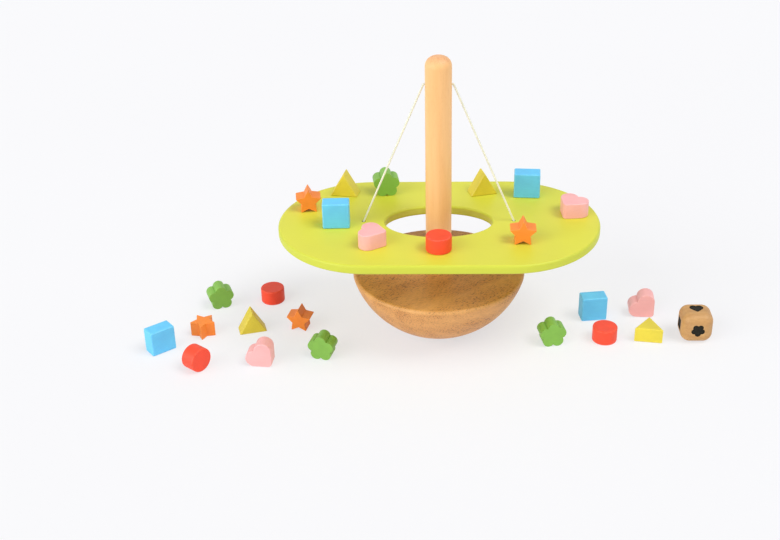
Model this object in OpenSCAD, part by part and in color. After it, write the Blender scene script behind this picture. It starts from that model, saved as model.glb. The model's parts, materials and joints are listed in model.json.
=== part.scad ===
// Balancing boat game: a ball-bottomed stand, a tray slung on a cord, painted blocks and a die.
// The floor is z = 0 under the mast's axis, +X runs along the tray, +Z is up.

/* [Stand] */
// Radius of the ball that the rocker base is cut from
ball_r = 85; // [78:0.5:102]
// Radius of the small flat turned on the ball's lowest point
foot_r = 12; // [8:0.5:30]
// Height of the base's flat top above the floor
base_h = 63.5; // [50:0.5:78]
// Diameter of the mast
mast_d = 24; // [18:0.5:29]
// Height of the mast's top above the floor
mast_top = 275; // [262:1:335]
// Radius of the rounding at the mast's top
mast_nose_r = 9; // [4:0.5:9]
// Depth of the mast's plug in the base
plug_depth = 40; // [20:1:45]

/* [Tray] */
// Length of the tray
tray_l = 300; // [240:1:360]
// Width of the tray
tray_w = 174; // [144:1:210]
// Thickness of the tray
tray_t = 9; // [6:0.5:12]
// Height of the tray's underside above the floor
tray_z = 105; // [100:1:126]
// Length of the oval hole round the mast
hole_l = 100; // [80:1:120]
// Width of the oval hole round the mast
hole_w = 62; // [52:1:75]

/* [Cord] */
// Diameter of the cord
cord_d = 2; // [1.2:0.1:2.4]
// Height of the cross-hole that carries the cord through the mast
cord_z = 249; // [215:1:258]
// Distance between the cord's two holes in the tray
cord_span = 140; // [122:1:168]
// Clearance round the cord, all round, in the holes it runs through
cord_clear = 0.7; // [0.5:0.1:1.2]
// Diameter of the knots under the tray
knot_d = 6; // [5:0.5:9]
// Length of the cord's cut end below a knot
tail_l = 5; // [2:0.5:10]

/* [Blocks] */
// Thickness of every block
block_t = 15; // [12:0.5:18]
// Side of the square blocks
square_w = 25; // [20:0.5:30]
// Side of the triangle blocks
triangle_w = 27; // [22:0.5:32]
// Radius over the points of the star blocks
star_r = 12.2; // [10.2:0.1:15]
// Radius of the notches between the star's points
star_notch_r = 6.6; // [5:0.1:7.9]
// Width of the star's blunt points
star_tip = 1; // [0.8:0.1:2.4]
// Radius of the ring that the flower's petals are centred on
flower_ring_r = 7.2; // [6:0.1:8.8]
// Radius of the flower's petals
petal_r = 5.6; // [4.9:0.1:7]
// Side of the square that the heart is built on
heart_side = 16.5; // [13.5:0.1:19.8]
// Rounding of the heart's lower tip
heart_tip_r = 3.5; // [1:0.1:5]
// Diameter of the cylinder blocks
disc_d = 23.5; // [19.5:0.5:28.5]

/* [Die] */
// Width of the die
die_w = 30; // [25:0.5:36]
// Rounding of the die's edges
die_round = 9; // [4:0.5:10]
// Width of the marks on the die
mark_w = 13; // [8:0.5:14]
// Depth of the marks on the die
mark_depth = 0.5; // [0.3:0.1:1]

/* [Hidden] */
$fn = 64;
cut = 1;
petals = 5;
hole_points = 72;
tray_top = tray_z + tray_t;
mast_r = mast_d / 2;
cord_r = cord_d / 2;
cord_bore_d = cord_d + 2 * cord_clear;
ball_centre_z = sqrt(ball_r * ball_r - foot_r * foot_r);
triangle_h = triangle_w * sqrt(3) / 2;

// The cord bends just outside the mast, and each leg hangs clear of its bends
mouth_gap = 1.5;
bend_gap = 0.1;
knot_gap = 0.3;
mouth_x = mast_r + mouth_gap;
leg_run = cord_span / 2 - mouth_x;
leg_drop = cord_z - tray_top;
leg_l = sqrt(leg_run * leg_run + leg_drop * leg_drop);
leg_angle = atan2(leg_run, leg_drop);

// The fuller square and round marks are cut smaller, so that all six look alike in size
square_mark_share = 1.15;
disc_mark_share = 1.1;
die_facets = 32;

base_colour = [0.76, 0.55, 0.33];
mast_colour = [0.98, 0.78, 0.52];
tray_colour = [0.88, 0.88, 0.36];
cord_colour = [0.96, 0.95, 0.80];
die_colour = [0.88, 0.68, 0.43];

// Place, as a share of the tray's half length, of a block that stands in line with the cord's holes:
// a share of the way from the nearer hole to the tray's end
function beyond_cord(share) = (cord_span + share * (tray_l - cord_span)) / tray_l;

// Each row is a block: name, shape, pose, place along X and along Y, and turn in degrees.
// Places on the tray are shares of its half length and half width, and on the floor millimetres.
TRAY_BLOCKS = [
    ["star_1", "star", "standing", -0.826, 0.302, 7],
    ["star_2", "star", "standing", 0.506, -0.468, -1],
    ["triangle_1", "triangle", "standing", -0.605, 0.69, -10],
    ["triangle_2", "triangle", "standing", 0.285, 0.70, 15],
    ["flower_1", "flower", "standing", -0.34, 0.70, 8],
    ["square_1", "square", "standing", -beyond_cord(0.311875), -0.095, 2],
    ["square_2", "square", "standing", 0.57, 0.625, -4],
    ["heart_1", "heart", "flat", -0.381, -0.535, 32],
    ["heart_2", "heart", "flat", beyond_cord(0.671875), 0.125, -85],
    ["cylinder_1", "disc", "flat", 0, -0.645, 0]
];
FLOOR_BLOCKS = [
    ["star_3", "star", "flat", -228.5, -16, 181],
    ["star_4", "star", "standing", -135, -3.5, -12],
    ["triangle_3", "triangle", "standing", -182, -9, 16],
    ["triangle_4", "triangle", "flat", 200, -25.5, -9],
    ["flower_2", "flower", "standing", -220, 38, 21],
    ["flower_3", "flower", "standing", -109, -55, -14],
    ["flower_4", "flower", "standing", 107, -32, 11],
    ["square_3", "square", "standing", -265, -44.5, 39],
    ["square_4", "square", "standing", 151, 14, 8],
    ["heart_3", "heart", "standing", -163, -67.5, -6],
    ["heart_4", "heart", "standing", 203, 20.5, -3],
    ["cylinder_2", "disc", "standing", -225, -77, 52],
    ["cylinder_3", "disc", "flat", -168, 48, 0],
    ["cylinder_4", "disc", "flat", 158, -27, 0]
];
die_place = [244, -21];

STAND_NODES = ["rocker_base", "mast", "tray"];
CORD_NODES = ["cord_bridge", "cord_left", "cord_right", "left_knot", "right_knot"];
BLOCK_NODES = [for (b = concat(TRAY_BLOCKS, FLOOR_BLOCKS)) b[0]];

// Half ball with a small flat foot below, a flat top and a blind socket for the mast
module rocker_base() {
    color(base_colour)
        difference() {
            rotate_extrude()
                intersection() {
                    translate([0, ball_centre_z]) circle(ball_r);
                    square([ball_r, base_h]);
                }
            translate([0, 0, base_h - plug_depth]) cylinder(d = mast_d, h = plug_depth + cut);
        }
}

// Dowel with a rounded top, plugged into the base and cross-drilled for the cord
module mast() {
    foot_z = base_h - plug_depth;
    shoulder_z = mast_top - mast_nose_r;
    flat_r = mast_r - mast_nose_r;
    color(mast_colour)
        difference() {
            rotate_extrude() {
                translate([0, foot_z]) square([mast_r, shoulder_z - foot_z]);
                intersection() {
                    translate([flat_r, shoulder_z]) circle(mast_nose_r);
                    translate([flat_r, shoulder_z]) square(mast_nose_r);
                }
                translate([0, shoulder_z]) square([flat_r, mast_nose_r]);
            }
            translate([0, 0, cord_z])
                rotate([0, 90, 0])
                cylinder(d = cord_bore_d, h = mast_d + 2 * cut, center = true);
        }
}

// Flat board with round ends, an oval hole for the mast and a small hole at each side for the cord
module tray() {
    color(tray_colour)
        translate([0, 0, tray_z])
        difference() {
            linear_extrude(tray_t) tray_outline();
            translate([0, 0, -cut]) linear_extrude(tray_t + 2 * cut) mast_hole_outline();
            for (side = [-1, 1])
                translate([side * cord_span / 2, 0, -cut])
                    cylinder(d = cord_bore_d, h = tray_t + 2 * cut);
        }
}

module tray_outline() {
    straight = tray_l - tray_w;
    square([straight, tray_w], center = true);
    for (side = [-1, 1])
        translate([side * straight / 2, 0]) circle(d = tray_w);
}

module mast_hole_outline() {
    step = 360 / hole_points;
    polygon([for (i = [0 : hole_points - 1]) [hole_l / 2 * cos(i * step), hole_w / 2 * sin(i * step)]]);
}

// The cord's stretch through the mast, with a round bend at each end
module cord_bridge() {
    color(cord_colour)
        translate([0, 0, cord_z])
        rotate([0, 90, 0])
        rotate_extrude() {
            translate([0, -mouth_x]) square([cord_r, 2 * mouth_x]);
            for (end = [-1, 1])
                intersection() {
                    translate([0, end * mouth_x]) circle(cord_r);
                    translate([0, min(0, end) * (mouth_x + cord_r)]) square([cord_r, mouth_x + cord_r]);
                }
        }
}

// One straight leg of the cord from the mast down to the tray, on the left or the right
module cord_leg(side) {
    end_gap = cord_r + bend_gap;
    color(cord_colour)
        translate([side * cord_span / 2, 0, tray_top])
        rotate([0, -side * leg_angle, 0])
        translate([0, 0, end_gap])
        cylinder(d = cord_d, h = leg_l - 2 * end_gap);
}

module cord_left() {
    cord_leg(-1);
}

module cord_right() {
    cord_leg(1);
}

// The cord's end: down through the tray, a knot under it and the cut tail
module knot(side) {
    knot_z = tray_z - knot_gap - knot_d / 2;
    tail_z = knot_z - knot_d / 2 - tail_l;
    color(cord_colour)
        translate([side * cord_span / 2, 0, 0])
        rotate_extrude()
        intersection() {
            union() {
                translate([0, tail_z]) square([cord_r, tray_top - tail_z]);
                translate([0, tray_top]) circle(cord_r);
                translate([0, knot_z]) circle(d = knot_d);
            }
            translate([0, tail_z]) square([knot_d, tray_top + cord_r - tail_z]);
        }
}

module left_knot() {
    knot(-1);
}

module right_knot() {
    knot(1);
}

// Outlines of the six block shapes, each about its own centre
module square_outline() {
    square(square_w, center = true);
}

module triangle_outline() {
    low = -triangle_h / 3;
    polygon([[-triangle_w / 2, low], [triangle_w / 2, low], [0, low + triangle_h]]);
}

module star_outline() {
    step = 360 / petals;
    polygon([
        for (i = [0 : petals - 1])
            let (a = 90 + i * step, out = [cos(a), sin(a)], along = [-sin(a), cos(a)] * star_tip / 2)
            each [
                out * star_r - along,
                out * star_r + along,
                star_notch_r * [cos(a + step / 2), sin(a + step / 2)]
            ]
    ]);
}

module flower_outline() {
    circle(flower_ring_r);
    for (i = [0 : petals - 1])
        rotate(90 + i * 360 / petals) translate([flower_ring_r, 0]) circle(petal_r);
}

module heart_outline() {
    half = heart_side / 2;
    straight = heart_side - heart_tip_r;
    translate([-half, -half]) square([straight, heart_side]);
    translate([-half, heart_tip_r - half]) square([heart_side, straight]);
    translate([half - heart_tip_r, heart_tip_r - half]) circle(heart_tip_r);
    translate([-half, 0]) circle(half);
    translate([0, half]) circle(half);
}

module disc_outline() {
    circle(d = disc_d);
}

module outline(shape) {
    if (shape == "square") square_outline();
    if (shape == "triangle") triangle_outline();
    if (shape == "star") star_outline();
    if (shape == "flower") flower_outline();
    if (shape == "heart") heart_outline();
    if (shape == "disc") disc_outline();
}

// Distance from a shape's centre down to the edge that it stands on
function foot_of(shape) =
    shape == "square" ? square_w / 2 :
    shape == "triangle" ? triangle_h / 3 :
    shape == "star" ? star_r * cos(180 / petals) + star_tip / 2 * sin(180 / petals) :
    shape == "flower" ? flower_ring_r * cos(180 / petals) + petal_r :
    shape == "heart" ? heart_side / 2 :
    disc_d / 2;

function block_colour(shape) =
    shape == "square" ? [0.43, 0.82, 0.97] :
    shape == "triangle" ? [0.87, 0.79, 0.25] :
    shape == "star" ? [0.98, 0.58, 0.25] :
    shape == "flower" ? [0.52, 0.72, 0.30] :
    shape == "heart" ? [1.00, 0.70, 0.70] :
    [0.98, 0.36, 0.24];

// A block on the surface below it, lying flat or standing on its edge
module block(shape, pose, turn) {
    color(block_colour(shape))
        rotate(turn)
        if (pose == "flat")
            linear_extrude(block_t) outline(shape);
        else
            translate([0, 0, foot_of(shape)])
                rotate([90, 0, 0])
                linear_extrude(block_t, center = true) outline(shape);
}

module tray_block(b) {
    translate([b[3] * tray_l / 2, b[4] * tray_w / 2, tray_top]) block(b[1], b[2], b[5]);
}

module floor_block(b) {
    translate([b[3], b[4], 0]) block(b[1], b[2], b[5]);
}

// Width over which a shape's mark is measured on the die
function mark_size(shape) =
    shape == "square" ? square_w * square_mark_share :
    shape == "triangle" ? triangle_w :
    shape == "star" ? 2 * star_r :
    shape == "flower" ? 2 * (flower_ring_r + petal_r) :
    shape == "heart" ? heart_side * (1 + sqrt(2) / 2) :
    disc_d * disc_mark_share;

// A shallow mark cut into the die's upper face
module mark(shape, turn) {
    translate([0, 0, die_w / 2 - mark_depth])
        linear_extrude(mark_depth + cut)
        rotate(turn)
        scale(mark_w / mark_size(shape))
        outline(shape);
}

// Rounded cube with one block shape marked on each face
module die() {
    corner = die_w / 2 - die_round;
    heart_turn = -45;
    color(die_colour)
        translate([die_place.x, die_place.y, die_w / 2])
        difference() {
            hull()
                for (x = [-1, 1], y = [-1, 1], z = [-1, 1])
                    translate(corner * [x, y, z]) sphere(die_round, $fn = die_facets);
            mark("heart", heart_turn);
            rotate([90, 0, 0]) mark("flower", 180);
            rotate([0, -90, 0]) mark("square", 0);
            rotate([0, 90, 0]) mark("triangle", 90);
            rotate([-90, 0, 0]) mark("star", 0);
            rotate([180, 0, 0]) mark("disc", 0);
        }
}

rocker_base();
mast();
tray();
cord_bridge();
cord_left();
cord_right();
left_knot();
right_knot();
for (b = TRAY_BLOCKS)
    tray_block(b);
for (b = FLOOR_BLOCKS)
    floor_block(b);
die();
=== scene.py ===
# %% [markdown]
# A wooden balancing game. A tray hangs by one cord from a mast, the mast stands in a rounded base, and
# painted blocks are set on the tray one by one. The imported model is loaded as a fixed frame, and each
# piece is modelled again round it with the softened edges and the finishes of the real toy.

# %% Load the frame
import json
import math

import bpy
from mathutils import Matrix, Vector

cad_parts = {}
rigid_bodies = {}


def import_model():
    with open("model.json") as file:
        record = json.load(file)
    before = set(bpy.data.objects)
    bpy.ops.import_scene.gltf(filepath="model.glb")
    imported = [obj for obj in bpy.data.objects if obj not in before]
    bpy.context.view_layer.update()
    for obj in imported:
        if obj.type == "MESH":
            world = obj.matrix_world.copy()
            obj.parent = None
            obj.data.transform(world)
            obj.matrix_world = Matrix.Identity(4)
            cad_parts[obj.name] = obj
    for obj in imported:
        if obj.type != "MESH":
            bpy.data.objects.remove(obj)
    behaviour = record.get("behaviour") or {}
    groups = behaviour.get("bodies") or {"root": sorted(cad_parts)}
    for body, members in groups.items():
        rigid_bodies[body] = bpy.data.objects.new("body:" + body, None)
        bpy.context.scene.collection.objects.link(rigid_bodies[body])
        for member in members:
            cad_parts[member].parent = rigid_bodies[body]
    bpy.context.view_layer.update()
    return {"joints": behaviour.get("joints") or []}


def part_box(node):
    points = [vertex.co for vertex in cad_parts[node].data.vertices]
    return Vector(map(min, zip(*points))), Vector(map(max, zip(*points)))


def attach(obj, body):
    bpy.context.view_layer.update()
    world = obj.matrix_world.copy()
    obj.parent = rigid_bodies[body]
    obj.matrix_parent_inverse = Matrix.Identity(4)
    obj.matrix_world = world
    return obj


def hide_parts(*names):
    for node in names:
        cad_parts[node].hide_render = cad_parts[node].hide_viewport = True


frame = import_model()
bpy.ops.object.select_all(action="DESELECT")
MM = 0.001

# %% [markdown]
# The camera stands where the photo was taken from: a metre in front of the mast and well above the tray,
# turned and rolled a little. Its three turns are multiplied as matrices, because a roll about the line of
# sight is hard to read off Euler angles.

# %% The camera
PITCH, YAW, ROLL = (math.radians(d) for d in (29.32, -2.42, -1.33))
EYE = Vector((-2.7, -1036.3, 643.9)) * MM
LENS = 57.38
line_of_sight = (
    Matrix.Rotation(-YAW, 3, "Z")
    @ Matrix.Rotation(math.pi / 2 - PITCH, 3, "X")
    @ Matrix.Rotation(ROLL, 3, "Z")
)
bpy.ops.object.camera_add(location=EYE, rotation=line_of_sight.to_euler())
camera = bpy.context.object
camera.name = "photo_camera"
camera.data.lens = LENS
bpy.context.scene.camera = camera
print("camera at", [round(x, 3) for x in EYE], "lens", camera.data.lens)

# %% [markdown]
# Three small helpers are used all through the lesson. An operator acts on all that is selected, so one
# piece is picked alone before each step. A new piece is settled by moving its place, turn and scale into
# its mesh, because every finished piece sits at the origin.


# %% Picking and settling a piece
def only(piece):
    bpy.ops.object.select_all(action="DESELECT")
    piece.select_set(True)
    bpy.context.view_layer.objects.active = piece
    return piece


def settle(name):
    piece = bpy.context.object
    bpy.ops.object.transform_apply(location=True, rotation=True, scale=True)
    piece.name = piece.data.name = name
    return piece


def joined(parts, name):
    only(parts[0])
    for part in parts:
        part.select_set(True)
    bpy.ops.object.join()
    return settle(name)


# %% [markdown]
# The cord is one thin cotton string: through the mast, down to a hole in the tray on each side, and tied
# in a knot under it. It could be a plain tube, but string shows its lay close up. So a circle is pressed to
# the outline of three strands laid together, and a Screw modifier carries it along and round, as on a rope
# walk. Where the string bends, at the mast and at the tray, a small ball rounds it off.

# %% The cord's route and its lay
CORD_R = 1.0 * MM
STRANDS = 3
LAY = 7 * MM
STEPS_PER_TURN = 14
STRAND_R = 0.58 * CORD_R
STRAND_OUT = CORD_R - STRAND_R
STRAND_POINTS = 8
joint_at = {j["name"]: Vector(j["pos_m"]) for j in frame["joints"] if "pos_m" in j}
mouth = {"left": joint_at["left_leg_swing"], "right": joint_at["right_leg_swing"]}
left_hole = joint_at["tray_tilt"]
hole = {"left": left_hole, "right": Vector((-left_hole.x, left_hole.y, left_hole.z))}
print("the cord leaves the mast at", [round(x / MM, 1) for x in mouth["right"]], "and enters the tray at",
      [round(x / MM, 1) for x in hole["right"]])


# %% Twisted string between two points
WELD = 0.001 * MM
GROOVE_ANGLE = math.radians(50)


def string(name, start, end):
    run = end - start
    turns = max(1, round(run.length / LAY))
    bpy.ops.mesh.primitive_circle_add(vertices=STRANDS * STRAND_POINTS, radius=CORD_R)
    piece = settle(name)
    for v in piece.data.vertices:
        angle = math.remainder(math.atan2(v.co.y, v.co.x), 2 * math.pi / STRANDS)
        edge = math.sqrt(STRAND_R**2 - (STRAND_OUT * math.sin(angle)) ** 2)
        v.co *= (STRAND_OUT * math.cos(angle) + edge) / CORD_R
    twist = piece.modifiers.new("lay", "SCREW")
    twist.axis = "Z"
    twist.angle = 2 * math.pi
    twist.iterations = turns
    twist.screw_offset = run.length / turns
    twist.steps = twist.render_steps = STEPS_PER_TURN
    bpy.ops.object.modifier_apply(modifier=twist.name)
    bpy.ops.object.mode_set(mode="EDIT")
    bpy.ops.mesh.select_all(action="SELECT")
    bpy.ops.mesh.remove_doubles(threshold=WELD)
    bpy.ops.mesh.fill_holes(sides=0)
    bpy.ops.mesh.normals_make_consistent(inside=False)
    bpy.ops.object.mode_set(mode="OBJECT")
    bpy.ops.object.shade_smooth_by_angle(angle=GROOVE_ANGLE)
    piece.location = start
    piece.rotation_euler = run.to_track_quat("Z", "Y").to_euler()
    return settle(name)


# %% The cord's round bends
def bend(place):
    bpy.ops.mesh.primitive_uv_sphere_add(segments=16, ring_count=10, radius=CORD_R, location=place)
    bpy.ops.object.shade_smooth()
    return settle("bend")


# %% The knots under the tray
KNOT_R = 3 * MM
KNOT_DROP = 0.65 * KNOT_R
KNOT_RISE = 1.3
KNOT_POINTS = 72
TAIL = 5 * MM
STEM_START = 0.2 * MM
TRAY_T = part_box("tray")[1].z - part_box("tray")[0].z


def knot(name, top):
    """A trefoil curve, which one overhand turn makes, with the string's end through it"""
    middle = top - Vector((0, 0, TRAY_T + KNOT_DROP))
    turns = bpy.data.curves.new(name, "CURVE")
    turns.dimensions = "3D"
    turns.bevel_depth = CORD_R
    turns.bevel_resolution = 4
    loop = turns.splines.new("POLY")
    loop.points.add(KNOT_POINTS - 1)
    loop.use_cyclic_u = True
    size = (KNOT_R - CORD_R) / 3  # the curve reaches 3 from its middle before it is sized
    for i, point in enumerate(loop.points):
        t = 2 * math.pi * i / KNOT_POINTS
        x = math.sin(t) + 2 * math.sin(2 * t)
        y = math.cos(t) - 2 * math.cos(2 * t)
        z = -KNOT_RISE * math.sin(3 * t)
        point.co = (*(middle + size * Vector((x, y, z))), 1)
    tied = bpy.data.objects.new(name, turns)
    bpy.context.collection.objects.link(tied)
    only(tied)
    bpy.ops.object.convert(target="MESH")
    bpy.ops.object.shade_smooth()
    end = string("end", top + Vector((0, 0, STEM_START)), middle - Vector((0, 0, KNOT_R + TAIL)))
    return joined([tied, end, bend(top)], name)


# %% Lay the cord
LEG_GAP = 0.7 * CORD_R
cord_pieces = []
for side in ("left", "right"):
    down = (hole[side] - mouth[side]).normalized()
    leg = string(f"cord_{side}_string", mouth[side], hole[side] - LEG_GAP * down)
    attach(leg, f"cord_{side}")
    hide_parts(f"cord_{side}")
    tied = knot(f"{side}_knot_tied", hole[side])
    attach(tied, "left_knot" if side == "left" else "tray")
    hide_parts(f"{side}_knot")
    cord_pieces += [leg, tied]
bridge = joined([string("bridge", mouth["left"], mouth["right"]), bend(mouth["left"]), bend(mouth["right"])],
                "cord_bridge_string")
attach(bridge, "cord_bridge")
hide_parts("cord_bridge")
cord_pieces.append(bridge)
print("each leg of the cord is", round((hole["left"] - mouth["left"]).length / MM, 1), "mm")

# %% [markdown]
# Wooden toys have no sharp edges: each is sanded round before it is painted. So every piece gets its edges
# bevelled. The bevel gives its new faces the last material slot, which tells them from the flat ones, and
# they are marked in an attribute. The finishes read this mark: the blocks' paint is thinner and paler there,
# the tray's and the die's edges are darker as painted shade, and the base's socket mouth is paler as painted
# highlight. Weighted normals then keep the flat faces flat under smooth shading.


# %% Choosing what to edit
SHARP = math.radians(40)


def edit_alone(piece, kind):
    only(piece)
    bpy.ops.object.mode_set(mode="EDIT")
    bpy.ops.mesh.select_mode(type=kind)
    bpy.ops.mesh.select_all(action="DESELECT")


def edit_vertices(piece, test):
    edit_alone(piece, "VERT")
    bpy.ops.object.mode_set(mode="OBJECT")
    for v in piece.data.vertices:
        v.select = test(v.co)
    bpy.ops.object.mode_set(mode="EDIT")


def edit_sharp_edges(piece, test):
    edit_alone(piece, "EDGE")
    bpy.ops.mesh.edges_select_sharp(sharpness=SHARP)
    bpy.ops.object.mode_set(mode="OBJECT")
    places = [v.co for v in piece.data.vertices]
    for edge in piece.data.edges:
        edge.select = edge.select and test(*(places[i] for i in edge.vertices))
    for face in piece.data.polygons:
        face.select = False  # a face that stays chosen would choose its edges again
    print(piece.name, "has", sum(edge.select for edge in piece.data.edges), "edges to round")
    bpy.ops.object.mode_set(mode="EDIT")


# %% Rounding edges
EDGE_MARK = "rounded_edge"


# The value written into the edge mark is the share of the edge finish: wear on the blocks, painted shade on
# the tray and the die, painted highlight at the base's socket mouth
def round_edges(piece, width, steps, test=lambda a, b: True, mark_share=1.0, finish=0):
    marker = max(1, len(piece.data.materials))
    while len(piece.data.materials) <= marker:
        piece.data.materials.append(None)
    edit_sharp_edges(piece, test)
    bpy.ops.mesh.bevel(offset=width, segments=steps, profile=0.5, affect="EDGES", material=marker,
                       clamp_overlap=True)
    bpy.ops.object.mode_set(mode="OBJECT")
    marks = piece.data.attributes
    rounded = marks.get(EDGE_MARK) or marks.new(EDGE_MARK, "FLOAT", "FACE")
    for face in piece.data.polygons:
        if face.material_index == marker:
            rounded.data[face.index].value = mark_share
            face.material_index = finish
    piece.data.materials.pop(index=marker)


def smooth(piece, angle=35):
    only(piece)
    bpy.ops.object.shade_smooth_by_angle(angle=math.radians(angle))
    flats = piece.modifiers.new("flat faces", "WEIGHTED_NORMAL")
    flats.keep_sharp = True
    bpy.ops.object.modifier_apply(modifier=flats.name)


# %% Joining and cutting solids
def carve(piece, tool, operation="DIFFERENCE"):
    only(piece)
    cut = piece.modifiers.new("cut", "BOOLEAN")
    cut.operation = operation
    cut.solver = "EXACT"
    cut.material_mode = "TRANSFER"
    cut.object = tool
    bpy.ops.object.modifier_apply(modifier=cut.name)
    bpy.data.objects.remove(tool)


def dissolve_flats(piece):
    only(piece)
    bpy.ops.object.mode_set(mode="EDIT")
    bpy.ops.mesh.select_mode(type="EDGE")
    bpy.ops.mesh.select_all(action="SELECT")
    bpy.ops.mesh.remove_doubles(threshold=2 * WELD)
    bpy.ops.mesh.dissolve_limited(angle_limit=math.radians(1))
    # A union of faces in one plane can leave a loose scrap of face behind
    bpy.ops.mesh.select_all(action="DESELECT")
    bpy.ops.mesh.select_non_manifold()
    bpy.ops.mesh.select_linked()
    bpy.ops.mesh.delete(type="VERT")
    bpy.ops.object.mode_set(mode="OBJECT")


# %% [markdown]
# The base is turned on a lathe from one block: a ball cut off flat above, with a soft rim and a socket for
# the mast. A sphere is added at the ball's size and bisected twice, at the foot and where the rim begins to
# round. A bevel would be stopped by the ball's narrow rings, so the cut face is extruded up the rounding in
# small steps. It is then inset to the socket's mouth and pushed down, which makes the base a real part.

# %% The rocker base
BALL_R = 85 * MM
FOOT_R = 12 * MM
PLUG = 40 * MM
RIM_ROUND = 3 * MM
RIM_STEPS = 8
MOUTH_ROUND = 0.5 * MM
base_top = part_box("rocker_base")[1].z
mast_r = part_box("mast")[1].x
ball_z = math.sqrt(BALL_R**2 - FOOT_R**2)
rim_z = base_top - RIM_ROUND
rim_out = math.sqrt((BALL_R - RIM_ROUND) ** 2 - (rim_z - ball_z) ** 2)
rim_start = math.asin((rim_z - ball_z) / (BALL_R - RIM_ROUND))
rim_angles = [rim_start + (math.pi / 2 - rim_start) * i / RIM_STEPS for i in range(RIM_STEPS + 1)]
rim = [(rim_out + RIM_ROUND * math.cos(a), rim_z + RIM_ROUND * math.sin(a)) for a in rim_angles]
rim_low = rim[0][1]
print("the rim's rounding runs from", *([round(x / MM, 1) for x in rim[i]] for i in (0, -1)))

# %% Turn the base
bpy.ops.mesh.primitive_uv_sphere_add(segments=144, ring_count=110, radius=BALL_R, location=(0, 0, ball_z))
base = settle("rocker_base_turned")
bpy.ops.object.mode_set(mode="EDIT")
bpy.ops.mesh.select_mode(type="FACE")
bpy.ops.mesh.select_all(action="SELECT")
bpy.ops.mesh.bisect(plane_co=(0, 0, 0), plane_no=(0, 0, 1), clear_inner=True, use_fill=True)
bpy.ops.mesh.select_all(action="SELECT")
bpy.ops.mesh.bisect(plane_co=(0, 0, rim_low), plane_no=(0, 0, 1), clear_outer=True, use_fill=True)
bpy.ops.object.mode_set(mode="OBJECT")
print("base, cut at foot and rim:", len(base.data.polygons), "faces")

# %% Round its rim and sink its socket
UPWARD = 0.99
for face in base.data.polygons:
    face.select = face.normal.z > UPWARD
bpy.ops.object.mode_set(mode="EDIT")
for (r, z), (next_r, next_z) in zip(rim, rim[1:]):
    bpy.ops.mesh.extrude_region_move(TRANSFORM_OT_translate={"value": (0, 0, next_z - z)})
    bpy.ops.transform.resize(value=(next_r / r, next_r / r, 1), center_override=(0, 0, 0))
bpy.ops.mesh.inset(thickness=rim_out - mast_r)
bpy.ops.mesh.extrude_region_move(TRANSFORM_OT_translate={"value": (0, 0, -PLUG)})
bpy.ops.object.mode_set(mode="OBJECT")
print("base, with rim and socket:", len(base.data.polygons), "faces")

# %% Mark its rim for a painted highlight and soften the socket's mouth
# A painted highlight along the rim's rounding, strongest midway up it
rim_highlight = base.data.attributes.new(EDGE_MARK, "FLOAT", "FACE")
for face in base.data.polygons:
    share = (face.center.z - rim_low) / (base_top - rim_low)
    rim_highlight.data[face.index].value = max(0, 4 * share * (1 - share))
NEAR = 0.01 * MM


def at_mouth(a, b):
    return min(a.z, b.z) > base_top - NEAR and a.xy.length < 2 * mast_r


round_edges(base, MOUTH_ROUND, 2, at_mouth)
smooth(base)
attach(base, "stand")
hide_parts("rocker_base")
print("base:", len(base.data.polygons), "faces")

# %% [markdown]
# The mast is a dowel with a rounded top. A cylinder's top edge is bevelled almost to its middle, which
# makes the dome, and the hole for the cord is drilled through by a Boolean. The plug in the socket gets a
# small chamfer, as a dowel has so that it can be driven in.

# %% The mast
mast_low, mast_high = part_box("mast")
NOSE = 9 * MM
CHAMFER = 1 * MM
CORD_HOLE_R = 1.7 * MM
bpy.ops.mesh.primitive_cylinder_add(
    vertices=112, radius=mast_r, depth=mast_high.z - mast_low.z,
    location=(0, 0, (mast_low.z + mast_high.z) / 2),
)
mast = settle("mast_dowel")
round_edges(mast, NOSE, 14, lambda a, b: min(a.z, b.z) > mast_high.z - NEAR)
round_edges(mast, CHAMFER, 1, lambda a, b: max(a.z, b.z) < mast_low.z + NEAR)
bpy.ops.mesh.primitive_cylinder_add(
    vertices=32, radius=CORD_HOLE_R, depth=4 * mast_r,
    location=(0, 0, mouth["left"].z), rotation=(0, math.pi / 2, 0),
)
carve(mast, settle("drill"))
smooth(mast, angle=40)
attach(mast, "stand")
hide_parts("mast")
print("mast:", len(mast.data.polygons), "faces")

# %% [markdown]
# The tray is a board with round ends. A disc as wide as the tray is added, and its two halves are pulled
# apart along X, which leaves straight sides between half circles. The oval hole and the two cord holes are
# cut with Booleans, and their edges are rounded over so that they do not chafe the cord. Each cutter carries
# the finish of its hole as painted shade: the oval's wall is a darker olive, and the drilled holes and their
# rounded mouths are a dark brown.

# %% The tray
tray_low, tray_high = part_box("tray")
tray_half_w = tray_high.y
tray_stretch = tray_high.x - tray_half_w
HOLE_X, HOLE_Y = 50 * MM, 31 * MM
TRAY_ROUND = 2.2 * MM
CORD_HOLE_ROUND = 0.7 * MM
bpy.ops.mesh.primitive_cylinder_add(
    vertices=180, radius=tray_half_w, depth=TRAY_T, location=(0, 0, (tray_low.z + tray_high.z) / 2)
)
tray = settle("tray_board")
for sign in (-1, 1):
    edit_vertices(tray, lambda p: p.x * sign > NEAR)
    bpy.ops.transform.translate(value=(sign * tray_stretch, 0, 0))
    bpy.ops.object.mode_set(mode="OBJECT")
print("tray ends at x =", [round(f(v.co.x for v in tray.data.vertices) / MM, 1) for f in (min, max)])

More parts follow.
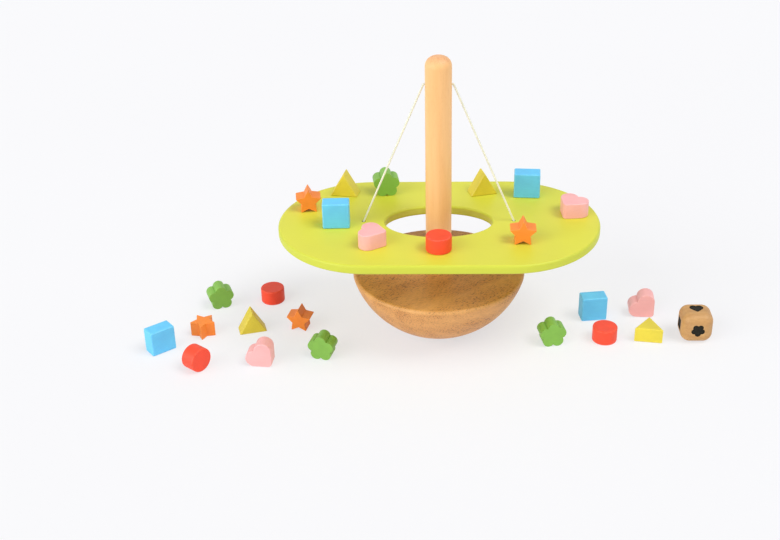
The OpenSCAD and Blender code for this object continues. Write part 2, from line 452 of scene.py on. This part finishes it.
# %% Cut the tray's holes
CUTTER = 4 * TRAY_T
bpy.ops.mesh.primitive_cylinder_add(vertices=120, radius=1, depth=CUTTER, location=(0, 0, tray_low.z))
bpy.context.object.scale = (HOLE_X, HOLE_Y, 1)
oval = settle("oval")
tray.data.materials.append(None)
# The oval's wall gets a darker olive paint, a painted shade inside the hole
tray.data.materials.append(bpy.data.materials.new("tray_hole_painted_shade"))
oval.data.materials.append(tray.data.materials[1])
carve(tray, oval)
round_edges(tray, TRAY_ROUND, 6)
# The drilled holes get a dark brown, a painted shade inside them
tray.data.materials.append(bpy.data.materials.new("cord_hole_painted_shade"))
for side in hole:
    bpy.ops.mesh.primitive_cylinder_add(vertices=24, radius=CORD_HOLE_R, depth=CUTTER, location=hole[side])
    drill = settle("drill")
    drill.data.materials.append(tray.data.materials[2])
    carve(tray, drill)


def at_cord_hole(a, b):
    return any((a - place).xy.length < 2 * CORD_HOLE_R for place in hole.values())


# The drilled holes' rounded mouths take the same dark painted shade
round_edges(tray, CORD_HOLE_ROUND, 3, at_cord_hole, mark_share=0.0, finish=2)
smooth(tray)
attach(tray, "tray")
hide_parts("tray")
print("tray:", len(tray.data.polygons), "faces,", len(tray.data.materials), "finishes")

# %% [markdown]
# The blocks come in six shapes, four of each, all sawn from the same 15 mm board. Each outline is modelled
# once as a plain prism about its own centre: a cube, a three-sided or ten-sided cylinder, or cylinders
# joined by Booleans. The same outlines are used again for the marks on the die.

# %% Square, triangle and cylinder
THICK = 15 * MM
SQUARE_W = 25 * MM
TRIANGLE_W = 27 * MM
DISC_D = 23.5 * MM


def square_prism():
    bpy.ops.mesh.primitive_cube_add(size=1)
    bpy.context.object.scale = (SQUARE_W, SQUARE_W, THICK)
    return settle("square")


def triangle_prism():
    bpy.ops.mesh.primitive_cylinder_add(vertices=3, radius=TRIANGLE_W / math.sqrt(3), depth=THICK)
    return settle("triangle")


def disc_prism():
    bpy.ops.mesh.primitive_cylinder_add(vertices=72, radius=DISC_D / 2, depth=THICK)
    return settle("disc")


# %% Star
STAR_R = 12.2 * MM  # to its rounded tips
SHARP_R = 12.94 * MM  # to the same tips before they are rounded
NOTCH_R = 6.6 * MM
TIP_ROUND = 1.2 * MM
POINTS = 5


def star_prism():
    bpy.ops.mesh.primitive_cylinder_add(vertices=2 * POINTS, radius=SHARP_R, depth=THICK)
    star = settle("star")
    # Every second corner is pulled in to make a notch
    edit_vertices(star, lambda p: round(math.atan2(p.x, p.y) / math.pi * POINTS) % 2 == 1)
    shrink = NOTCH_R / SHARP_R
    bpy.ops.transform.resize(value=(shrink, shrink, 1), center_override=(0, 0, 0))
    bpy.ops.object.mode_set(mode="OBJECT")

    def at_tip(a, b):
        return abs(a.z - b.z) > NEAR and a.xy.length > 1.5 * NOTCH_R

    round_edges(star, TIP_ROUND, 4, at_tip, mark_share=0.0)
    return star


# %% Flower and heart
FLOWER_RING_R = 7.2 * MM
PETAL_R = 5.6 * MM
HEART_SIDE = 16.5 * MM
HEART_TIP = 3.5 * MM


def flower_prism():
    bpy.ops.mesh.primitive_cylinder_add(vertices=40, radius=FLOWER_RING_R, depth=THICK)
    flower = settle("flower")
    for i in range(POINTS):
        angle = math.pi / 2 + 2 * math.pi * i / POINTS
        centre = FLOWER_RING_R * Vector((math.cos(angle), math.sin(angle), 0))
        bpy.ops.mesh.primitive_cylinder_add(vertices=48, radius=PETAL_R, depth=THICK, location=centre,
                                            rotation=(0, 0, angle))
        carve(flower, settle("petal"), "UNION")
    dissolve_flats(flower)
    return flower


def heart_prism():
    bpy.ops.mesh.primitive_cube_add(size=1)
    bpy.context.object.scale = (HEART_SIDE, HEART_SIDE, THICK)
    heart = settle("heart")
    for centre in (Vector((-HEART_SIDE / 2, 0, 0)), Vector((0, HEART_SIDE / 2, 0))):
        bpy.ops.mesh.primitive_cylinder_add(vertices=64, radius=HEART_SIDE / 2, depth=THICK, location=centre)
        carve(heart, settle("lobe"), "UNION")
    dissolve_flats(heart)

    def at_tip(a, b):
        return abs(a.z - b.z) > NEAR and a.x - a.y > 0.9 * HEART_SIDE

    round_edges(heart, HEART_TIP, 8, at_tip, mark_share=0.0)
    return heart


PRISMS = {"square": square_prism, "triangle": triangle_prism, "disc": disc_prism, "star": star_prism,
          "flower": flower_prism, "heart": heart_prism}

# %% [markdown]
# Each outline becomes one finished block with rounded edges, and the block is copied to its four places.
# A copy is turned as its CAD node is, lying flat or standing on edge, and moved so that its box has the
# node's middle and stands on the node's floor. A star's inner corners are left as the saw cut them.

# %% One rounded block of each shape
ROUND = {"square": 1.3 * MM, "triangle": 1.1 * MM, "disc": 1.2 * MM, "star": 0.45 * MM, "flower": 1.0 * MM,
         "heart": 1.2 * MM}
masters = {}
for shape, prism in PRISMS.items():
    masters[shape] = prism()
    rim_only = shape in ("star", "flower", "heart")
    round_edges(masters[shape], ROUND[shape], 4, lambda a, b: not rim_only or abs(a.z - b.z) < NEAR)
    smooth(masters[shape])
    print(shape, "block:", len(masters[shape].data.polygons), "faces")

# %% Where each block is, and its turn in degrees
BLOCKS = {
    "star_1": ("star", "standing", 7), "star_2": ("star", "standing", -1),
    "star_3": ("star", "flat", 181), "star_4": ("star", "standing", -12),
    "triangle_1": ("triangle", "standing", -10), "triangle_2": ("triangle", "standing", 15),
    "triangle_3": ("triangle", "standing", 16), "triangle_4": ("triangle", "flat", -9),
    "flower_1": ("flower", "standing", 8), "flower_2": ("flower", "standing", 21),
    "flower_3": ("flower", "standing", -14), "flower_4": ("flower", "standing", 11),
    "square_1": ("square", "standing", 2), "square_2": ("square", "standing", -4),
    "square_3": ("square", "standing", 39), "square_4": ("square", "standing", 8),
    "heart_1": ("heart", "flat", 32), "heart_2": ("heart", "flat", -85),
    "heart_3": ("heart", "standing", -6), "heart_4": ("heart", "standing", -3),
    "cylinder_1": ("disc", "flat", 0), "cylinder_2": ("disc", "standing", 52),
    "cylinder_3": ("disc", "flat", 0), "cylinder_4": ("disc", "flat", 0),
}
print(len(BLOCKS), "blocks,", sum(pose == "standing" for _, pose, _ in BLOCKS.values()), "of them on edge")


# %% Copy the blocks to their places
def box_of(piece):
    places = [v.co for v in piece.data.vertices]
    return [Vector(f(p[i] for p in places) for i in range(3)) for f in (min, max)]


blocks = {shape: [] for shape in masters}
for node, (shape, pose, turn) in BLOCKS.items():
    only(masters[shape])
    bpy.ops.object.duplicate()
    block = bpy.context.object
    block.rotation_euler = (math.pi / 2 if pose == "standing" else 0, 0, math.radians(turn))
    settle(f"{node}_painted")
    low, high = box_of(block)
    node_low, node_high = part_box(node)
    shift = (node_low + node_high - low - high) / 2
    shift.z = node_low.z - low.z
    block.location = shift
    settle(f"{node}_painted")
    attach(block, node)
    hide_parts(node)
    blocks[shape].append(block)
for master in masters.values():
    bpy.data.objects.remove(master)
print({shape: len(copies) for shape, copies in blocks.items()})

# %% [markdown]
# The die is a cube of bare wood, tumbled until it is very round, with a block shape burnt black into each
# face. A cube is bevelled deeply, and the six outlines, made small, are sunk half a millimetre into it by
# Booleans. The cutters carry the black finish, and the Boolean hands it on to the faces that they cut.

# %% The die
die_low, die_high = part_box("die")
die_middle = (die_low + die_high) / 2
DIE_W = die_high.z - die_low.z
DIE_ROUND = 9 * MM
bpy.ops.mesh.primitive_cube_add(size=DIE_W, location=die_middle)
die = settle("die_tumbled")
round_edges(die, DIE_ROUND, 12)
print("tumbled die:", len(die.data.polygons), "faces")

# %% The die's marks
MARK_W = 13 * MM
MARK_DEPTH = 0.5 * MM
# How wide each outline counts as. The square and the disc fill their width, so their marks come out smaller
OUTLINE_W = {"heart": HEART_SIDE * (1 + math.sqrt(2) / 2), "flower": 2 * (FLOWER_RING_R + PETAL_R),
             "square": 1.15 * SQUARE_W, "triangle": TRIANGLE_W, "star": 2 * STAR_R, "disc": 1.1 * DISC_D}
# Each mark is turned on the die's top, and the top is then tipped to its face about X or Y, in degrees
MARK_TURNS = {"heart": (-45, 0, "X"), "flower": (180, 90, "X"), "square": (0, -90, "Y"),
              "triangle": (90, 90, "Y"), "star": (0, -90, "X"), "disc": (0, 180, "X")}
die.data.materials.append(bpy.data.materials.new("die_burnt_mark"))
for shape, (turn, tip, axis) in MARK_TURNS.items():
    mark = only(PRISMS[shape]())
    mark.data.materials.clear()
    mark.data.materials.append(die.data.materials[1])
    share = MARK_W / OUTLINE_W[shape]
    mark.matrix_world = (
        Matrix.Translation(die_middle) @ Matrix.Rotation(math.radians(tip), 4, axis)
        @ Matrix.Translation((0, 0, DIE_W / 2 - MARK_DEPTH + share * THICK / 2))
        @ Matrix.Rotation(math.radians(turn), 4, "Z") @ Matrix.Scale(share, 4)
    )
    carve(die, settle("mark"))
smooth(die)
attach(die, "die")
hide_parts("die")
black = sum(face.material_index for face in die.data.polygons)
print("die:", len(die.data.polygons), "faces,", black, "of them black")

# %% [markdown]
# Finishes are node trees, and they read best as sums. The class below wraps one socket: adding or
# multiplying two wires adds a Math node, and every other node comes from its one method. Settings are set
# before sockets, because they change which sockets a node has.


# %% Shader sums
class Wire:
    def __init__(self, tree, socket):
        self.tree, self.socket = tree, socket

    def node(self, kind, settings=None, sockets=None, out=0):
        made = self.tree.nodes.new("ShaderNode" + kind)
        for name, value in (settings or {}).items():
            setattr(made, name, value)
        for name, value in (sockets or {}).items():
            if isinstance(value, Wire):
                self.tree.links.new(value.socket, made.inputs[name])
            else:
                made.inputs[name].default_value = value
        return Wire(self.tree, made.outputs[out])

    def math(self, operation, first, second):
        return self.node("Math", {"operation": operation}, {0: first, 1: second})

    def __add__(self, other):
        return self.math("ADD", self, other)

    def __sub__(self, other):
        return self.math("SUBTRACT", self, other)

    def __rsub__(self, other):
        return self.math("SUBTRACT", other, self)

    def __mul__(self, other):
        return self.math("MULTIPLY", self, other)

    __radd__, __rmul__ = __add__, __mul__


def screen(red, green, blue):
    """A colour as seen on a screen, 0 to 255, in the light amounts that shaders use"""
    share = [c / 255 for c in (red, green, blue)]
    return (*(c / 12.92 if c <= 0.04045 else ((c + 0.055) / 1.055) ** 2.4 for c in share), 1)


def toned(colour, share):
    """A colour with its light amounts multiplied by share"""
    return (*(min(1, c * share) for c in colour[:3]), 1)


# %% Noise, masks and mixes
def noise(place, size, turn=(0, 0, 0), detail=2.0, roughness=0.5):
    """Clouds about as large as size, three lengths in millimetres, along axes turned by turn in degrees"""
    spread = place.node("Mapping", {"vector_type": "TEXTURE"},
                        {"Vector": place, "Scale": [s * MM for s in size],
                         "Rotation": [math.radians(a) for a in turn]})
    return spread.node("TexNoise", None,
                       {"Vector": spread, "Scale": 1.0, "Detail": detail, "Roughness": roughness})


def between(value, low, high):
    """0 below low, 1 above high, and a smooth step between"""
    return value.node("MapRange", {"interpolation_type": "SMOOTHSTEP"},
                      {"Value": value, "From Min": low, "From Max": high})


def mix(share, first, second):
    return share.node("Mix", {"data_type": "RGBA"}, {0: share, 6: first, 7: second}, out=2)


def edge_of(place):
    """1 on the edges that round_edges marked, and 0 elsewhere"""
    return place.node("Attribute", {"attribute_name": EDGE_MARK}, out="Fac")


def new_finish(name):
    material = bpy.data.materials.get(name) or bpy.data.materials.new(name)
    material.use_nodes = True
    tree = material.node_tree
    return material, Wire(tree, tree.nodes.new("ShaderNodeTexCoord").outputs["Object"])


def lay_on(material, colour, roughness, height, depth, **fixed):
    """Feeds a material's shader. Height is a bump of depth millimetres, and fixed are plain values"""
    shader = material.node_tree.nodes["Principled BSDF"]
    bump = height.node("Bump", None, {"Height": height, "Strength": 1.0, "Distance": depth * MM})
    for name, wire in (("Base Color", colour), ("Roughness", roughness), ("Normal", bump)):
        material.node_tree.links.new(wire.socket, shader.inputs[name])
    for name, value in fixed.items():
        shader.inputs[name.replace("_", " ")].default_value = value
    return material


# %% [markdown]
# The blocks and the tray are painted with a thin satin paint. The wood's grain shows through it as faint
# streaks and ripples, the coat is a little cloudy, and on the blocks' rounded edges it is thinner and paler.
# The tray's sides and rounded edges are painted a deeper green than its top, as painted shade, and the
# surface's own normal tells the two apart.


# %% Paint
COAT_FIBRE = (16, 0.8, 0.8)
COAT_SPECK = (0.5, 0.5, 0.5)
COAT_RUB = (2.2, 2.2, 2.2)
COAT_BUMP = 0.05
CLOUD_RANGE, STREAK_RANGE, RUB_RANGE, FLAT_RANGE = (0.25, 0.75), (0.52, 0.75), (0.36, 0.62), (0.6, 0.98)
STREAK_TONE = 0.75
EDGE_SHARE = 0.22


def paint(name, colour, edge, cloudy=0.05, cloud_size=14, grain=0.25, side_shade=None):
    """Satin paint, nearer to edge on rounded edges. Where a side colour is given, the sides take it as
    painted shade
    """
    material, place = new_finish(name)
    cloud = noise(place, (cloud_size, cloud_size, cloud_size))
    fibre = noise(place, COAT_FIBRE, detail=3, roughness=0.6)
    speck = noise(place, COAT_SPECK)
    tone = mix(between(cloud, *CLOUD_RANGE), toned(colour, 1 - cloudy), toned(colour, 1 + cloudy))
    tone = mix(between(fibre, *STREAK_RANGE) * grain, tone, toned(colour, STREAK_TONE))
    # Patches on rounded edges: thinner, paler paint on the blocks, and a deeper green as painted shade on
    # the tray
    edge_patches = edge_of(place) * between(noise(place, COAT_RUB, detail=3), *RUB_RANGE)
    tone = mix(edge_patches * EDGE_SHARE, tone, edge)
    if side_shade:
        facing = place.node("TexCoord", out="Normal")
        upright = facing.node("SeparateXYZ", None, {"Vector": facing}, out="Z")
        tone = mix(between(upright * upright, *FLAT_RANGE), side_shade, tone)
    rough = 0.36 + 0.16 * cloud + 0.08 * speck
    return lay_on(material, tone, rough, fibre * 0.7 + speck * 0.3, COAT_BUMP)


# %% Paint the blocks and the tray
TRAY_GREEN = screen(221, 221, 66)
BLOCK_PAINTS = {
    "star": ("orange_paint", screen(252, 141, 46), screen(255, 178, 96)),
    "triangle": ("yellow_paint", screen(230, 211, 62), screen(244, 230, 124)),
    "flower": ("green_paint", screen(130, 184, 72), screen(168, 208, 112)),
    "square": ("blue_paint", screen(104, 205, 255), screen(160, 228, 255)),
    "heart": ("pink_paint", screen(254, 184, 182), screen(255, 212, 210)),
    "disc": ("red_paint", screen(249, 74, 42), screen(255, 124, 92)),
}
for shape, (slot, colour, edge) in BLOCK_PAINTS.items():
    coat = paint(slot, colour, edge)
    for block in blocks[shape]:
        block.data.materials.clear()
        block.data.materials.append(coat)
# The tray's deeper edge colour and its side colour are painted shade on its rounded edges and sides
tray.data.materials[0] = paint("tray_paint", TRAY_GREEN, screen(212, 215, 64), cloudy=0.03, cloud_size=70,
                               grain=0.1, side_shade=screen(206, 212, 62))
# Painted shade inside the holes: a darker olive on the oval's wall, and a dark brown in the drilled holes
paint("tray_hole_painted_shade", screen(208, 211, 84), TRAY_GREEN)
paint("cord_hole_painted_shade", screen(112, 100, 40), TRAY_GREEN)
print("paints:", [slot for slot, _, _ in BLOCK_PAINTS.values()])

# %% [markdown]
# Bare wood is layers of the same noise at different stretches: broad bands of colour along the grain, fine
# fibres, and short dark pores. The base is an open-pored brown wood with its grain across the ball, the
# mast a pale fine one with its grain upright, and the die lies with its grain along X.


# %% Wood along a grain
BAND_RANGE, FIBRE_RANGE, POROUS_RANGE = (0.2, 0.8), (0.4, 0.8), (0.25, 0.6)
FIBRE_TONE = 0.84


def wood(place, kind):
    """Colour, and height for a bump, of wood with the tones, turn and sizes that kind gives"""
    bands = noise(place, kind["bands"], kind["turn"], detail=3)
    fibres = noise(place, kind["fibres"], kind["turn"], detail=3, roughness=0.6)
    pores = between(noise(place, kind["pores"], kind["turn"], detail=2), *kind["pore_range"])
    tone = mix(between(bands, *BAND_RANGE), kind["pale"], kind["dark"])
    tone = mix(between(fibres, *FIBRE_RANGE) * kind["fibre_depth"], tone, toned(kind["dark"], FIBRE_TONE))
    tone = mix(pores * between(bands, *POROUS_RANGE) * kind["pore_depth"], tone, kind["pore"])
    return tone, fibres * 0.4 - pores * 0.6


# %% The base's wood
BASE_WOOD = {
    "pale": screen(233, 172, 102), "dark": screen(205, 140, 71), "pore": screen(124, 72, 32),
    "turn": (0, 8, 40), "bands": (80, 18, 18), "fibres": (14, 0.8, 0.8), "fibre_depth": 0.7,
    "pores": (3.2, 0.8, 0.8), "pore_range": (0.54, 0.64), "pore_depth": 0.85,
}
RIM_HIGHLIGHT = 0.2
material, place = new_finish("base_wood")
tone, height = wood(place, BASE_WOOD)
# Painted highlight: the rim's rounding and the socket's rounded mouth take a paler warm tone
tone = mix(edge_of(place) * RIM_HIGHLIGHT, tone, screen(246, 194, 118))
gloss = noise(place, (14, 14, 14))
base.data.materials.clear()
base.data.materials.append(lay_on(material, tone, 0.4 + 0.15 * gloss, height, 0.08))
print("base wood:", len(place.tree.nodes), "nodes")

# %% The mast's wood, with its end grain on the dome
MAST_WOOD = {
    "pale": screen(252, 201, 140), "dark": screen(246, 188, 122), "pore": screen(216, 146, 84),
    "turn": (0, 0, 0), "bands": (9, 9, 130), "fibres": (0.9, 0.9, 22), "fibre_depth": 0.22,
    "pores": (0.6, 0.6, 4), "pore_range": (0.57, 0.7), "pore_depth": 0.16,
}
DOME_FROM, DOME_TO = 6 * MM, 0.5 * MM  # below the top
DOME_TINT = 0.8
material, place = new_finish("mast_wood")
tone, height = wood(place, MAST_WOOD)
up = place.node("SeparateXYZ", None, {"Vector": place}, out="Z")
dome = between(up, mast_high.z - DOME_FROM, mast_high.z - DOME_TO)
end_specks = between(noise(place, (0.9, 0.9, 3), detail=2), 0.45, 0.68)
end_tone = mix(end_specks, screen(246, 186, 132), screen(226, 154, 104))
tone = mix(dome * DOME_TINT, tone, end_tone)
gloss = noise(place, (10, 10, 30))
mast.data.materials.clear()
mast.data.materials.append(lay_on(material, tone, 0.4 + 0.14 * gloss, height, 0.04))
print("mast wood:", len(place.tree.nodes), "nodes")

# %% The die's wood and its burnt marks
DIE_WOOD = {
    "pale": screen(212, 167, 108), "dark": screen(194, 146, 88), "pore": screen(146, 98, 54),
    "turn": (0, 4, 6), "bands": (50, 4, 4), "fibres": (14, 0.6, 0.6), "fibre_depth": 0.45,
    "pores": (3, 0.5, 0.5), "pore_range": (0.55, 0.68), "pore_depth": 0.4,
}
DIE_EDGE_SHADE = 0.25
material, place = new_finish("die_wood")
tone, height = wood(place, DIE_WOOD)
# Painted shade: the die's rounded edges and corners are darkened toward brown
tone = mix(edge_of(place) * DIE_EDGE_SHADE, tone, screen(190, 136, 76))
die.data.materials[0] = lay_on(material, tone, 0.42 + 0.14 * noise(place, (8, 8, 8)), height, 0.05)
material, place = new_finish("die_burnt_mark")
char = noise(place, (1.2, 0.4, 0.4), detail=3)
tone = mix(between(char, 0.4, 0.8), screen(26, 25, 20), screen(54, 48, 34))
lay_on(material, tone, 0.6 + 0.2 * char, char, 0.06, Specular_IOR_Level=0.2)
print("die finishes:", [m.name for m in die.data.materials])

# %% [markdown]
# The string is undyed cotton. Its strands are geometry already, so its finish only adds the fibres: fine
# noise that shades the hollows and roughens the light.

# %% The cord's cotton
material, place = new_finish("cord_cotton")
fluff = noise(place, (0.35, 0.35, 0.9), detail=3)
tone = mix(between(fluff, 0.3, 0.75), screen(230, 230, 206), screen(247, 247, 228))
lay_on(material, tone, 0.8 + 0.15 * fluff, fluff, 0.08, Sheen_Weight=0.2)
for piece in cord_pieces:
    piece.data.materials.clear()
    piece.data.materials.append(material)
print("finishes:", sorted(m.name for m in bpy.data.materials if m.users))

# %% [markdown]
# The stage is a wide white floor under a white sky. A broad lamp high on the right lays the blocks' shadows
# to the left, and a broader, stronger one low on the front left lights the sides that the camera sees. The
# lamps are suns with a wide angle, so the floor is lit evenly. Only to rays that come from the camera, or
# from a shiny surface, is the sky fully white and does the floor glow. So the background is white with no
# more light on the object, and the floor keeps a soft share of the shadows.


# %% Rays that see the white background
def seen_rays(tree):
    """1 for rays from the camera, and from polish and glass, and 0 for rays that only carry light"""
    path = tree.nodes.new("ShaderNodeLightPath")
    camera_ray, glossy_ray, glass_ray = (
        Wire(tree, path.outputs[f"Is {kind} Ray"]) for kind in ("Camera", "Glossy", "Transmission")
    )
    return camera_ray.math("MAXIMUM", camera_ray.math("MAXIMUM", camera_ray, glossy_ray), glass_ray)


# %% The floor
FLOOR_W = 16
FLOOR_GLOW = 0.64
WHITE = screen(250, 250, 252)
bpy.ops.mesh.primitive_plane_add(size=FLOOR_W)
floor = settle("floor")
material, place = new_finish("floor_white")
paper = noise(place, (400, 400, 400))
tone = mix(paper, screen(244, 244, 246), screen(248, 248, 250))
lay_on(material, tone, 0.85 + 0.1 * paper, paper, 0.0, Specular_IOR_Level=0.0)
glow = place.node("Emission", None, {"Color": WHITE})
shader = Wire(place.tree, place.tree.nodes["Principled BSDF"].outputs["BSDF"])
lit = place.node("MixShader", None, {0: seen_rays(place.tree) * FLOOR_GLOW, 1: shader, 2: glow})
place.tree.links.new(lit.socket, place.tree.nodes["Material Output"].inputs["Surface"])
floor.data.materials.append(material)
print("the floor is", FLOOR_W, "m wide")

# %% The lamps: where each shines from, its strength, and its angle in degrees
LAMPS = {"key": ((0.5, -0.22, 0.84), 1.5, 32), "fill": ((-0.76, -0.58, 0.3), 2.15, 60)}
for name, (toward, energy, angle) in LAMPS.items():
    bpy.ops.object.light_add(type="SUN", rotation=Vector(toward).to_track_quat("Z", "Y").to_euler())
    lamp = bpy.context.object
    lamp.name = name
    lamp.data.energy = energy
    lamp.data.angle = math.radians(angle)

# %% The sky
SKY = 0.44
world = bpy.data.worlds.new("studio")
bpy.context.scene.world = world
world.use_nodes = True
backdrop = world.node_tree.nodes["Background"]
backdrop.inputs["Color"].default_value = WHITE
world.node_tree.links.new((SKY + (1 - SKY) * seen_rays(world.node_tree)).socket, backdrop.inputs["Strength"])
bpy.context.scene.view_settings.view_transform = "Standard"
print("the sky lights the object with", SKY, "and shows as 1")
